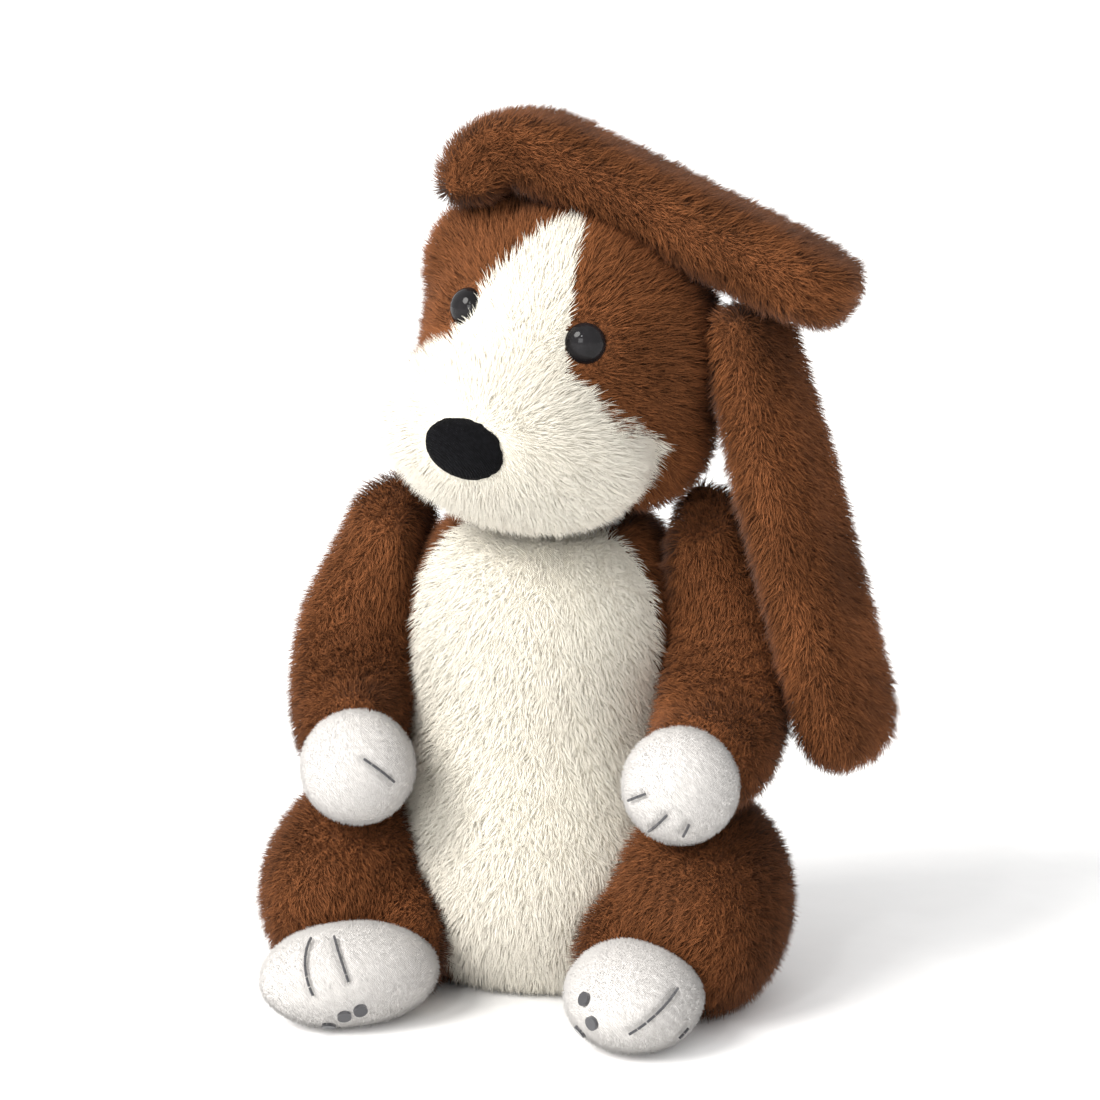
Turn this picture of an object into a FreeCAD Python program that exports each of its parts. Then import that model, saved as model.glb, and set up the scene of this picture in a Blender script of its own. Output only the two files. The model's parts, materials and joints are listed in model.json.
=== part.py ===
import FreeCAD, Part
import math
import os
import Sketcher
from FreeCAD import Placement, Rotation, Vector

# Seated plush dog, in millimetres.  +Z is up, the dog faces -Y and its left side is +X.
# The origin is on the floor under the middle of the toy.  Every fabric wall stands for the
# knitted backing and the pressed root of its pile; the loose pile stands a little prouder.

# Driving dimensions: name, value, meaning.  An ellipsoid NAME takes NAME_wide (X), NAME_deep (Y)
# and NAME_tall (Z) as full sizes and NAME_x, NAME_y and NAME_z as its centre.
SIZES = (
    ("wall", 3.0, "fabric wall, with the root of its pile"),
    ("skin", 0.2, "slack between a fabric wall and its stuffing"),
    ("part_gap", 0.5, "slack between two pieces that move past each other"),
    ("reach", 200.0, "size of a cutting block"),

    ("body_y", 2.0, "middle of the body, front to back"),
    ("ring_turn", -70.0, "where each ring starts: inside the belly panel, clear of every cut, degrees"),
    ("ring_seat", 29.0, "half widths of the body's rings, from the floor up"),
    ("ring_seam", 50.0, ""),
    ("ring_hips", 57.0, ""),
    ("ring_waist", 50.5, ""),
    ("ring_ribs", 45.0, ""),
    ("ring_chest", 44.0, ""),
    ("ring_yoke", 36.0, ""),
    ("ring_neck", 20.0, ""),
    ("seat_z", 0.0, "heights of the same rings"),
    ("seam_z", 13.0, ""),
    ("hips_z", 38.0, ""),
    ("waist_z", 68.0, ""),
    ("ribs_z", 100.0, ""),
    ("chest_z", 130.0, ""),
    ("yoke_z", 150.0, ""),
    ("neck_top_z", 160.0, ""),
    ("belly_back_y", -18.0, "the belly panel lies in front of this"),
    ("belly_foot", 19.0, "half widths of the belly panel, from its foot to its top"),
    ("belly_low", 34.0, ""),
    ("belly_mid", 43.0, ""),
    ("belly_top", 34.0, ""),
    ("belly_low_z", 30.0, "heights of the same points"),
    ("belly_mid_z", 62.0, ""),
    ("belly_rib_z", 104.0, ""),
    ("seat_edge_z", 14.0, "height of the seam round the seat"),

    ("bag_wide", 76.0, "pellet bag in the seat"),
    ("bag_deep", 64.0, ""),
    ("bag_tall", 30.0, ""),
    ("bag_x", 0.0, ""),
    ("bag_y", 4.0, ""),
    ("bag_z", 22.0, ""),
    ("bag_cloth", 0.6, "cloth of the pellet bag"),

    ("neck_x", 3.0, "neck pivot"),
    ("neck_y", -3.0, ""),
    ("neck_z", 162.0, ""),
    ("neck_radius", 24.0, "ball of stuffing in the neck"),
    ("seam_radius", 25.4, "thread ring that joins the head"),
    ("thread", 0.6, "radius of a thread"),
    ("thread_clear", 0.9, "slack between a thread and the cloth"),
    ("back_stitch", 4.5, "length of a stitch on the back"),
    ("back_stitches", 6, "how many there are"),

    ("head_x", 9.5, "middle of the skull"),
    ("head_y", -8.0, ""),
    ("head_z", 213.0, ""),
    ("head_yaw", -12.0, "head turned to the dog's right, degrees"),
    ("head_roll", 13.0, "head tipped to the dog's left, degrees"),
    ("skull_radius", 48.5, "skull"),
    ("muzzle_wide", 90.0, "muzzle and jowls"),
    ("muzzle_deep", 72.0, ""),
    ("muzzle_tall", 54.0, ""),
    ("muzzle_x", 0.0, ""),
    ("muzzle_y", -32.0, ""),
    ("muzzle_z", -24.0, ""),
    ("jowl_radius", 25.0, "low cheeks, one on each side"),
    ("jowl_x", 26.0, ""),
    ("jowl_y", 4.0, ""),
    ("jowl_z", -18.0, ""),
    ("crown_radius", 24.0, "bulge under the root of the flung ear"),
    ("crown_x", -29.0, ""),
    ("crown_y", -4.0, ""),
    ("crown_z", 21.0, ""),
    ("nose_wide", 29.0, "padded nose patch"),
    ("nose_deep", 12.0, ""),
    ("nose_tall", 20.0, ""),
    ("nose_x", 0.0, ""),
    ("nose_y", -66.5, ""),
    ("nose_z", -25.0, ""),
    ("blaze_tip_z", 46.0, "pale stripe on the forehead, in the head's own axes"),
    ("blaze_top", 5.0, ""),
    ("blaze_top_z", 42.0, ""),
    ("blaze_foot", 19.0, ""),
    ("brow", 15.0, ""),
    ("brow_z", 20.0, ""),
    ("cheek", 46.0, "pale muzzle, in the head's own axes"),
    ("cheek_top_z", 2.0, ""),
    ("cheek_low_z", -40.0, ""),
    ("jaw", 26.0, ""),
    ("jaw_z", -56.0, ""),
    ("face_depth", -12.0, "how far back the pale face reaches"),

    ("eye_x", 21.5, "eye place on the head"),
    ("eye_z", 13.0, ""),
    ("eye_y", -40.0, ""),
    ("eye_turn", 24.0, "eye faces this far sideways, degrees"),
    ("eye_radius", 6.8, "safety eye"),
    ("eye_dome", 5.4, "height of the eye's dome"),
    ("shank_radius", 2.4, "post behind the eye"),
    ("shank_long", 15.0, ""),
    ("washer_radius", 7.5, "locking washer on the post"),
    ("washer_thick", 1.2, ""),
    ("washer_back", 6.0, "washer's distance behind the eye's rim"),

    ("ear_wide", 46.0, "ear flap"),
    ("ear_thick", 16.0, ""),
    ("ear_long", 152.0, "length of the straight ear"),
    ("ear_neck", 0.7, "width of the ear's root, as a share of its full width"),
    ("ear_full", 0.35, "where the ear reaches its full width, as a share of its length"),
    ("ear_round", 17.0, "radius at the ear's corners"),
    ("ear_edge", 5.0, "radius round the ear's rim"),
    ("wad_round", 11.0, "radius at the wadding's corners"),
    ("ear_wad", 3.0, "thickness of the wadding sheet"),
    ("ear_margin", 6.0, "seam margin round the wadding"),
    ("left_ear_x", 67.5, "root of the hanging ear"),
    ("left_ear_y", -8.0, ""),
    ("left_ear_z", 228.0, ""),
    ("left_ear_lean", 15.0, "outward lean, degrees"),
    ("left_ear_turn", 14.0, "flap turned to the front, degrees"),
    ("right_ear_x", -7.0, "middle of the arch of the flung ear"),
    ("right_ear_y", -8.0, ""),
    ("right_ear_z", 266.5, ""),
    ("arch_radius", 15.0, "middle line of the arch"),
    ("arch_start", 185.0, "arch from this angle, degrees"),
    ("arch_end", 65.0, "to this angle, where it runs straight"),
    ("arch_run", 112.0, "straight run to the tip"),

    ("arm_root", 15.0, "radii of the arm's rings, from the shoulder to the wrist"),
    ("arm_shoulder", 19.0, ""),
    ("arm_upper", 20.5, ""),
    ("arm_elbow", 20.0, ""),
    ("arm_fore", 18.0, ""),
    ("arm_wrist", 14.5, ""),
    ("arm_root_out", 51.0, "how far out the middle of each ring lies"),
    ("arm_shoulder_out", 51.0, ""),
    ("arm_upper_out", 60.5, ""),
    ("arm_elbow_out", 63.5, ""),
    ("arm_fore_out", 62.0, ""),
    ("arm_wrist_out", 55.0, ""),
    ("arm_bend", 50.0, "radius of the arm's bend"),
    ("arm_bend_y", -50.0, "middle of the bend"),
    ("arm_bend_z", 136.0, ""),
    ("arm_seam_x", 46.6, "flat seam where the arm meets the body"),
    ("paw_radius", 18.5, "front paw"),
    ("paw_x", 54.0, ""),
    ("paw_y", -64.0, ""),
    ("paw_z", 81.0, ""),
    ("paws_aside", 5.0, "both paws lie this far to the dog's left"),
    ("stitch", 0.45, "radius of an embroidery thread"),
    ("stitch_clear", 0.3, "slack between an embroidery thread and the cloth"),

    ("leg_wide", 56.0, "thigh and shin"),
    ("leg_deep", 98.0, ""),
    ("leg_tall", 70.0, ""),
    ("leg_x", 57.0, ""),
    ("leg_y", -26.0, ""),
    ("leg_z", 33.0, ""),
    ("leg_turn", 8.0, "leg turned out, degrees"),
    ("calf_radius", 22.0, "stuffing of the shin, inside the foot"),
    ("calf_x", 43.0, ""),
    ("calf_y", -44.0, ""),
    ("calf_z", 21.0, ""),
    ("foot_wide", 44.0, "back foot"),
    ("foot_deep", 60.0, ""),
    ("foot_tall", 33.0, ""),
    ("foot_x", 47.5, ""),
    ("foot_y", -80.0, ""),
    ("foot_z", 15.5, ""),
    ("left_foot_turn", 12.0, "feet turned out, degrees"),
    ("right_foot_turn", 50.0, ""),
    ("sole_z", 9.0, "height of the seam round the sole"),
    ("toe_pad_radius", 2.3, "embroidered toe pad"),
    ("toe_pad_thick", 1.0, ""),

    ("tail_wide", 21.0, "tail"),
    ("tail_deep", 46.0, ""),
    ("tail_tall", 21.0, ""),
    ("tail_x", 0.0, ""),
    ("tail_y", 84.0, ""),
    ("tail_z", 34.0, ""),
    ("tail_lift", 18.0, "tail slopes up, degrees"),
)

doc = FreeCAD.newDocument("plush_dog")
sheet = doc.addObject("Spreadsheet::Sheet", "Sizes")
for row, (name, value, meaning) in enumerate(SIZES, start=1):
    sheet.set("A%d" % row, name)
    sheet.set("B%d" % row, str(value))
    sheet.set("C%d" % row, meaning)
    sheet.setAlias("B%d" % row, name)
doc.recompute()

parts = []
X, Y, Z = Vector(1, 0, 0), Vector(0, 1, 0), Vector(0, 0, 1)


def size(name):
    """The sheet's value of one driving dimension."""
    return float(sheet.get(name))


def point(stem):
    """The place NAME_x, NAME_y, NAME_z from the sheet."""
    return Vector(size(stem + "_x"), size(stem + "_y"), size(stem + "_z"))


def bind(thing, **expressions):
    """Bind properties of a document object to cells of the sheet."""
    for prop, expression in expressions.items():
        thing.setExpression(prop.replace("__", "."), expression)
    return thing


def piece(thing, name, placement=None):
    """Keep a finished sub-part under its own name, put in its place."""
    thing.Label = name
    if placement is not None:
        thing.Placement = placement
    parts.append(thing)
    return thing


def ellipsoid(name, stem, grow="0", sign=1, turn=Rotation()):
    """An ellipsoid from the sheet; grow is added to each radius and sign flips X for a right side."""
    solid = doc.addObject("Part::Ellipsoid", name)
    solid.Angle1, solid.Angle2, solid.Angle3 = -90, 90, 360
    solid.Placement = Placement(Vector(), turn)
    return bind(
        solid,
        Radius2="Sizes.%s_wide / 2 + %s" % (stem, grow),
        Radius3="Sizes.%s_deep / 2 + %s" % (stem, grow),
        Radius1="Sizes.%s_tall / 2 + %s" % (stem, grow),
        Placement__Base__x="%d * Sizes.%s_x" % (sign, stem),
        Placement__Base__y="Sizes.%s_y" % stem,
        Placement__Base__z="Sizes.%s_z" % stem,
    )


def ball(name, radius, place=Placement()):
    """A sphere whose radius is an expression."""
    sphere = doc.addObject("Part::Sphere", name)
    sphere.Placement = place
    return bind(sphere, Radius=radius)


def fuse(name, *solids):
    """Several solids made one."""
    joined = doc.addObject("Part::MultiFuse", name)
    joined.Shapes = list(solids)
    joined.Refine = True
    return joined


def cut(name, base, tool):
    """base without tool."""
    result = doc.addObject("Part::Cut", name)
    result.Base, result.Tool = base, tool
    return result


def common(name, base, tool):
    """What base and tool share."""
    result = doc.addObject("Part::Common", name)
    result.Base, result.Tool = base, tool
    return result


def placed(name, thing, place):
    """A copy of thing, moved to a place."""
    copy = doc.addObject("Part::Compound", name)
    copy.Links = [thing]
    copy.Placement = place
    return copy


def block(name, low, high):
    """A cutting block between two corners; each coordinate is an expression."""
    box = doc.addObject("Part::Box", name)
    bind(box, Length="(%s) - (%s)" % (high[0], low[0]), Width="(%s) - (%s)" % (high[1], low[1]),
         Height="(%s) - (%s)" % (high[2], low[2]))
    return bind(box, Placement__Base__x=low[0], Placement__Base__y=low[1], Placement__Base__z=low[2])


def body_sketch(body, name, role):
    """A sketch on one of a body's own origin planes."""
    plane = next(f for f in body.Origin.OriginFeatures if f.Role == role)
    sketch = body.newObject("Sketcher::SketchObject", name)
    sketch.AttachmentSupport = [(plane, "")]
    sketch.MapMode = "FlatFace"
    return sketch


def straight_profile(sketch, corners):
    """A closed outline of straight lines between corners given as pairs of expressions."""
    starts = [Vector(1 + i, 1 + (i % 2), 0) for i in range(len(corners))]
    for i, start in enumerate(starts):
        sketch.addGeometry(Part.LineSegment(start, starts[(i + 1) % len(starts)]))
    for i in range(len(corners)):
        sketch.addConstraint(Sketcher.Constraint("Coincident", i, 2, (i + 1) % len(corners), 1))
    for i, (across, along) in enumerate(corners):
        for kind, expression in (("DistanceX", across), ("DistanceY", along)):
            index = sketch.addConstraint(Sketcher.Constraint(kind, -1, 1, i, 1, 1.0))
            sketch.setExpression("Constraints[%d]" % index, expression)


def front_prism(name, corners, back_y):
    """A polygon in the XZ plane, mirrored about Z and run forward from back_y."""
    body = doc.addObject("PartDesign::Body", name)
    sketch = body_sketch(body, name + "_outline", "XZ_Plane")
    mirrored = [("-(%s)" % across, up) for across, up in reversed(corners) if across != "0"]
    straight_profile(sketch, list(corners) + mirrored)
    pad = body.newObject("PartDesign::Pad", name + "_pad")
    pad.Profile = sketch
    bind(pad, Length="Sizes.reach")
    bind(body, Placement__Base__y=back_y)
    return body


SIDES = (("left", 1), ("right", -1))
TORSO_RINGS = (("seat", "seat_z"), ("seam", "seam_z"), ("hips", "hips_z"), ("waist", "waist_z"),
               ("ribs", "ribs_z"), ("chest", "chest_z"), ("yoke", "yoke_z"), ("neck", "neck_top_z"))
# The arm's rings and the angle of each round the bend; 0 is level with the middle of the bend.
ARM_RINGS = (("root", -30), ("shoulder", -14), ("upper", 12), ("elbow", 42), ("fore", 72), ("wrist", 96))
# Embroidered toe lines: where each starts and ends on a paw or foot, as directions from its
# middle in its own axes, and how many stitches it takes.
PAW_LINES = {
    "left": (((-0.75, -0.64, -0.15), (-0.40, -0.92, 0.05), 3),
             ((-0.40, -0.64, -0.65), (-0.02, -0.96, -0.27), 3),
             ((0.19, -0.70, -0.69), (0.32, -0.84, -0.44), 2)),
    "right": (((0.37, -0.86, 0.36), (0.82, -0.56, -0.09), 4),),
}
FOOT_LINES = {
    "left": (((-0.04, -0.99, -0.11), (0.55, -0.77, 0.32), 7),
             ((0.58, -0.76, -0.33), (0.69, -0.70, -0.20), 2)),
    "right": (((0.16, -0.70, 0.69), (0.66, -0.76, 0.0), 7),
              ((0.39, -0.44, 0.81), (0.90, -0.39, 0.17), 7)),
}
# The middle of each toe pad, as a direction from the middle of the foot in its own axes.
TOE_PADS = {
    "left": ((-0.59, -0.79, 0.18), (-0.46, -0.89, -0.06), (-0.72, -0.61, -0.33)),
    "right": ((0.56, -0.58, -0.58), (0.83, -0.43, -0.35), (0.94, -0.22, -0.27)),
}
STITCH_SHARE = 0.9    # length of a thread, as a share of the step between its two ends
WALL = "-Sizes.wall"
FILL = "-Sizes.wall - Sizes.skin"


def above(name, height):
    """Everything above a height, as a cutting block."""
    return block(name, ("-Sizes.reach", "-Sizes.reach", height), ("Sizes.reach", "Sizes.reach", "2 * Sizes.reach"))


def beside(name, sign, offset):
    """Everything past X = offset on one side, as a cutting block."""
    low, high = (offset, "Sizes.reach") if sign > 0 else ("-Sizes.reach", "-(%s)" % offset)
    return block(name, (low, "-Sizes.reach", "-Sizes.reach"), (high, "Sizes.reach", "2 * Sizes.reach"))


def thread_stitches(name, radius, lines):
    """Straight threads between the points of each line, a little shorter than their steps."""
    threads = []
    for line in lines:
        for start, end in zip(line, line[1:]):
            thread = doc.addObject("Part::Cylinder", "%s_thread_%d" % (name, len(threads)))
            bind(thread, Radius=radius)
            along = end - start
            thread.Height = STITCH_SHARE * along.Length
            thread.Placement = Placement(start + along * (1 - STITCH_SHARE) / 2, Rotation(Z, along))
            threads.append(thread)
    group = doc.addObject("Part::Compound", name)
    group.Links = threads
    return piece(group, name)


def on_ellipsoid(centre, radii, turn, direction, lift):
    """The point of an ellipsoid in a direction of its own axes, raised by lift, and its normal."""
    unit = Vector(direction).normalize()
    scale = sum((unit[i] / radii[i]) ** 2 for i in range(3)) ** -0.5
    normal = Vector(*[unit[i] / radii[i] ** 2 for i in range(3)]).normalize()
    return centre + turn.multVec(unit * scale + normal * lift), turn.multVec(normal)


def stitched_line(centre, radii, turn, start, end, steps):
    """Points along a line of stitches that lies on an ellipsoid, from one direction to another."""
    start, end = Vector(start), Vector(end)
    lift = size("stitch") + size("stitch_clear")
    return [on_ellipsoid(centre, radii, turn, start + (end - start) * (step / steps), lift)[0]
            for step in range(steps + 1)]


def torso_volume(name, grow, floor="0"):
    """The pear of the body, lofted through its rings; floor raises the lowest ring."""
    rings = []
    for ring, height in TORSO_RINGS:
        circle = doc.addObject("Part::Circle", "%s_%s" % (name, ring))
        circle.Placement = Placement(Vector(), Rotation(Z, size("ring_turn")))
        rise = " + %s" % floor if ring == TORSO_RINGS[0][0] else ""
        bind(circle, Radius="Sizes.ring_%s + %s" % (ring, grow), Placement__Base__y="Sizes.body_y",
             Placement__Base__z="Sizes.%s%s" % (height, rise))
        rings.append(circle)
    loft = doc.addObject("Part::Loft", name)
    loft.Sections = rings
    loft.Solid = True
    loft.Ruled = False
    return loft


def make_torso(neck_hole):
    """Back, belly and seat panels round the stuffing and the pellet bag."""
    outer = torso_volume("torso_outer", "0")
    inner = torso_volume("torso_inner", WALL, "Sizes.wall")
    wall = cut("torso_wall", cut("torso_shell", outer, inner), neck_hole)
    front = front_prism("belly_outline", (
        ("Sizes.belly_foot", "-1"), ("Sizes.belly_low", "Sizes.belly_low_z"),
        ("Sizes.belly_mid", "Sizes.belly_mid_z"), ("Sizes.belly_mid", "Sizes.belly_rib_z"),
        ("Sizes.belly_top", "Sizes.neck_top_z + 1")), "Sizes.belly_back_y")
    upper = above("seat_block", "Sizes.seat_edge_z")
    piece(common("belly_cut", wall, front), "belly_panel")
    piece(cut("seat_cut", cut("torso_bottom", wall, upper), front), "seat_panel")
    back = common("torso_top", wall, upper)
    for side, sign in SIDES:
        half = common("back_half_%s" % side, back, beside("half_%s" % side, sign, "0"))
        piece(cut("back_%s" % side, half, front), "back_%s_panel" % side)
    bag = ellipsoid("bag_full", "bag")
    pellets = ellipsoid("bag_pellets", "bag", "-Sizes.bag_cloth")
    piece(cut("bag_skin", bag, pellets), "pellet_bag")
    piece(pellets, "pellets")
    space = torso_volume("torso_fill", FILL, "Sizes.wall + Sizes.skin")
    piece(cut("torso_fill_cut", cut("torso_fill_neck", space, neck_hole), bag), "torso_stuffing")


def make_back_seam():
    """Hand-sewn stitches across the middle of the back, where the stuffing goes in."""
    lines = []
    count = int(size("back_stitches"))
    half = X * size("back_stitch") / 2
    lift = size("thread") + size("thread_clear")
    for step in range(count):
        share = step / (count - 1)
        height = size("waist_z") + share * (size("ribs_z") - size("waist_z"))
        radius = size("ring_waist") + share * (size("ring_ribs") - size("ring_waist"))
        middle = Vector(0, size("body_y") + radius + lift, height)
        lines.append([middle - half, middle + half])
    thread_stitches("back_seam_stitches", "Sizes.thread", lines)


def make_neck():
    """The ball of stuffing that fills the neck, and the thread ring round it."""
    torso_hole = ball("torso_neck_hole", "Sizes.neck_radius + Sizes.part_gap")
    head_hole = ball("head_neck_hole", "Sizes.seam_radius + 2 * Sizes.thread + Sizes.part_gap")
    filling = ball("neck_ball", "Sizes.neck_radius")
    ring = doc.addObject("Part::Torus", "neck_ring")
    bind(ring, Radius1="Sizes.seam_radius", Radius2="Sizes.thread")
    for thing in (torso_hole, head_hole, filling, ring):
        bind(thing, Placement__Base__x="Sizes.neck_x", Placement__Base__y="Sizes.neck_y",
             Placement__Base__z="Sizes.neck_z")
    piece(filling, "neck_stuffing")
    piece(ring, "neck_seam_thread")
    return torso_hole, head_hole


def head_volume(name, grow):
    """Skull, muzzle, low cheeks and the bulge under the flung ear, in the head's own axes."""
    skull = ball(name + "_skull", "Sizes.skull_radius + %s" % grow)
    lumps = [ellipsoid(name + "_muzzle", "muzzle", grow)]
    for side, sign in SIDES:
        place = Placement(Vector(sign * size("jowl_x"), size("jowl_y"), size("jowl_z")), Rotation())
        lumps.append(ball("%s_%s_jowl" % (name, side), "Sizes.jowl_radius + %s" % grow, place))
    lumps.append(ball(name + "_crown", "Sizes.crown_radius + %s" % grow, Placement(point("crown"), Rotation())))
    return fuse(name, skull, *lumps)


def make_eye(side, sign, head_place):
    """A glossy safety eye with its post, and the washer that locks it inside the head."""
    turn = Rotation(Z, sign * size("eye_turn")) * Rotation(X, 90)
    place = head_place * Placement(Vector(sign * size("eye_x"), size("eye_y"), size("eye_z")), turn)
    dome = doc.addObject("Part::Ellipsoid", side + "_eye_dome")
    dome.Angle1, dome.Angle2, dome.Angle3 = 0, 90, 360
    bind(dome, Radius1="Sizes.eye_dome", Radius2="Sizes.eye_radius", Radius3="Sizes.eye_radius")
    post = doc.addObject("Part::Cylinder", side + "_eye_post")
    bind(post, Radius="Sizes.shank_radius", Height="Sizes.shank_long + 1", Placement__Base__z="-Sizes.shank_long")
    eye = piece(fuse(side + "_eye_whole", dome, post), side + "_eye", place)

    washer = doc.addObject("PartDesign::Body", side + "_washer")
    sketch = body_sketch(washer, side + "_washer_sketch", "XY_Plane")
    for number, radius in enumerate(("Sizes.washer_radius", "Sizes.shank_radius")):
        sketch.addGeometry(Part.Circle(Vector(), Z, 5.0 - 2.0 * number))
        sketch.addConstraint(Sketcher.Constraint("Coincident", number, 3, -1, 1))
        index = sketch.addConstraint(Sketcher.Constraint("Radius", number, 5.0 - 2.0 * number))
        sketch.setExpression("Constraints[%d]" % index, radius)
    pad = washer.newObject("PartDesign::Pad", side + "_washer_pad")
    pad.Profile = sketch
    bind(pad, Length="Sizes.washer_thick")
    back = Vector(0, 0, -size("washer_back") - size("washer_thick"))
    return eye, piece(washer, side + "_eye_washer", place * Placement(back, Rotation()))


def make_head(neck_hole):
    """Brown side panels and the pale face panel round the stuffing, with eyes and nose."""
    turn = Rotation(Z, size("head_yaw")) * Rotation(Y, size("head_roll"))
    place = Placement(point("head"), turn)
    eyes = [make_eye(side, sign, place) for side, sign in SIDES]
    wall_tools = fuse("head_wall_tools", neck_hole, *[eye for eye, _ in eyes])
    fill_tools = fuse("head_fill_tools", neck_hole, *[part for pair in eyes for part in pair])

    outer = head_volume("head_outer", "0")
    shell = cut("head_shell", outer, head_volume("head_inner", WALL))
    shell.Placement = place
    wall = cut("head_wall", shell, wall_tools)
    filling = head_volume("head_fill_space", FILL)
    filling.Placement = place
    piece(cut("head_fill", filling, fill_tools), "head_stuffing")
    blaze = front_prism("blaze", (("0", "Sizes.blaze_tip_z"), ("Sizes.blaze_top", "Sizes.blaze_top_z"),
                                  ("Sizes.brow", "Sizes.brow_z"),
                                  ("Sizes.blaze_foot", "Sizes.cheek_top_z"),
                                  ("Sizes.cheek", "Sizes.cheek_top_z - Sizes.blaze_foot"),
                                  ("Sizes.cheek", "Sizes.cheek_low_z"), ("Sizes.jaw", "Sizes.jaw_z")), "0")
    bind(blaze, Placement__Base__y="Sizes.face_depth")
    front = common("face_region", block("face_block", ("-Sizes.reach", "-2 * Sizes.reach", "-Sizes.reach"),
                                        ("Sizes.reach", "0", "Sizes.reach")), blaze)
    front.Placement = place
    piece(common("face_cut", wall, front), "face_panel")
    for side, sign in SIDES:
        half = placed("head_half_%s" % side, beside("head_half_%s_block" % side, sign, "0"), place)
        piece(cut("head_%s" % side, common("head_%s_half" % side, wall, half), front), "head_%s_panel" % side)
    piece(cut("nose_cut", ellipsoid("nose_full", "nose"), outer), "nose_patch", place)


def flap_body(name, wide, long_, thick, inset):
    """A hanging flap: narrow root at the top, rounded tip; its thickness runs along X."""
    body = doc.addObject("PartDesign::Body", name)
    sketch = body_sketch(body, name + "_outline", "YZ_Plane")
    half = "(%s) / 2" % wide
    bottom = "%s - (%s)" % (inset, long_)
    root, full = "Sizes.ear_neck * " + half, "-Sizes.ear_full * (%s)" % long_
    straight_profile(sketch, [("-" + root, "-(%s)" % inset), ("-" + half, full), ("-" + half, bottom),
                              (half, bottom), (half, full), (root, "-(%s)" % inset)])
    pad = body.newObject("PartDesign::Pad", name + "_pad")
    pad.Profile = sketch
    pad.Midplane = True
    bind(pad, Length=thick)
    return body


def round_corners(name, base, radius, wanted):
    """A Part fillet on the edges of base that the test wanted accepts."""
    doc.recompute()
    edges = [i for i, edge in enumerate(base.Shape.Edges, start=1) if wanted(edge)]
    rounded = doc.addObject("Part::Fillet", name)
    rounded.Base = base
    rounded.Edges = [(i, size(radius), size(radius)) for i in edges]
    return rounded


def is_line(edge, axis):
    """Whether an edge is straight and runs along an axis."""
    if edge.Curve.TypeId != "Part::GeomLine":
        return False
    return abs(abs(edge.Curve.Direction.dot(axis)) - 1) < 1e-6


def split_ear(side, solid, upper_half, wadding, place):
    """The ear as two fabric panels with a wadding sheet between them."""
    for name, tool in (("front", common), ("back", cut)):
        layer = tool("%s_ear_%s_layer" % (side, name), solid, upper_half)
        panel = cut("%s_ear_%s" % (side, name), layer, wadding)
        piece(panel, "%s_ear_%s_panel" % (side, name), place)
    piece(placed(side + "_ear_wad_placed", wadding, place), side + "_ear_wadding")


def make_left_ear():
    """The ear that hangs beside the head, flat and a little fanned out."""
    flap = flap_body("left_ear_flap", "Sizes.ear_wide", "Sizes.ear_long", "Sizes.ear_thick", "0")
    corner = round_corners("left_ear_tip", flap, "ear_round",
                           lambda e: is_line(e, X) and e.BoundBox.ZMax < -size("ear_long") / 2)
    rim = round_corners("left_ear_rim", corner, "ear_edge", lambda e: abs(e.BoundBox.XLength) < 0.01)
    wad = flap_body("left_ear_wad", "Sizes.ear_wide - 2 * Sizes.ear_margin", "Sizes.ear_long - Sizes.ear_margin",
                    "Sizes.ear_wad", "Sizes.ear_margin")
    wad_round = round_corners("left_ear_wad_tip", wad, "wad_round",
                              lambda e: is_line(e, X) and e.BoundBox.ZMax < -size("ear_long") / 2)
    turn = Rotation(Y, -size("left_ear_lean")) * Rotation(Z, -size("left_ear_turn"))
    outside = beside("left_ear_outside", 1, "0")
    split_ear("left", rim, outside, wad_round, Placement(point("left_ear"), turn))


def arch_layer(name, low, high, margin, corner_radius="ear_round"):
    """A strip of the arched ear between two heights from its middle line."""
    turned = "Sizes.arch_start - Sizes.arch_end"
    rings = []
    for edge, height in (("outer", high), ("inner", low)):
        ring = doc.addObject("Part::Cylinder", "%s_%s_ring" % (name, edge))
        # The ring's axis lies along -Y, so that its angles run from +X towards +Z.
        ring.Placement = Placement(Vector(), Rotation(Y, -size("arch_end")) * Rotation(X, 90))
        bind(ring, Radius="Sizes.arch_radius + (%s)" % height, Angle=turned,
             Height="Sizes.ear_wide - 2 * (%s)" % margin,
             Placement__Base__y="Sizes.ear_wide / 2 - (%s)" % margin)
        rings.append(ring)
    arch = cut(name + "_arch", *rings)
    run = doc.addObject("Part::Box", name + "_run")
    run.Placement.Rotation = Rotation(Y, 90 - size("arch_end"))
    bind(run, Length="Sizes.arch_run - (%s)" % margin, Width="Sizes.ear_wide - 2 * (%s)" % margin,
         Height="(%s) - (%s)" % (high, low),
         Placement__Base__x="(Sizes.arch_radius + (%s)) * cos(Sizes.arch_end * 1 deg)" % low,
         Placement__Base__y="(%s) - Sizes.ear_wide / 2" % margin,
         Placement__Base__z="(Sizes.arch_radius + (%s)) * sin(Sizes.arch_end * 1 deg)" % low)
    corner = round_corners(name + "_run_tip", run, corner_radius,
                           lambda e: is_line(e, run.Placement.Rotation.multVec(Z)) and is_tip(e))
    return fuse(name, arch, corner)


def is_tip(edge):
    """Whether an edge of the arched ear lies near its free end."""
    tip = size("arch_radius") + size("arch_run") / 2
    return edge.CenterOfMass.x > tip


def make_right_ear():
    """The ear flung over the top of the head: an arch, then a straight run down to the tip."""
    half = "Sizes.ear_thick / 2"
    whole = arch_layer("right_ear_whole", "-" + half, half, "0")
    top = arch_layer("right_ear_top", "0", "Sizes.ear_thick", "-1")
    wad = arch_layer("right_ear_wad", "-Sizes.ear_wad / 2", "Sizes.ear_wad / 2", "Sizes.ear_margin", "wad_round")
    split_ear("right", whole, top, wad, Placement(point("right_ear"), Rotation()))


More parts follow.
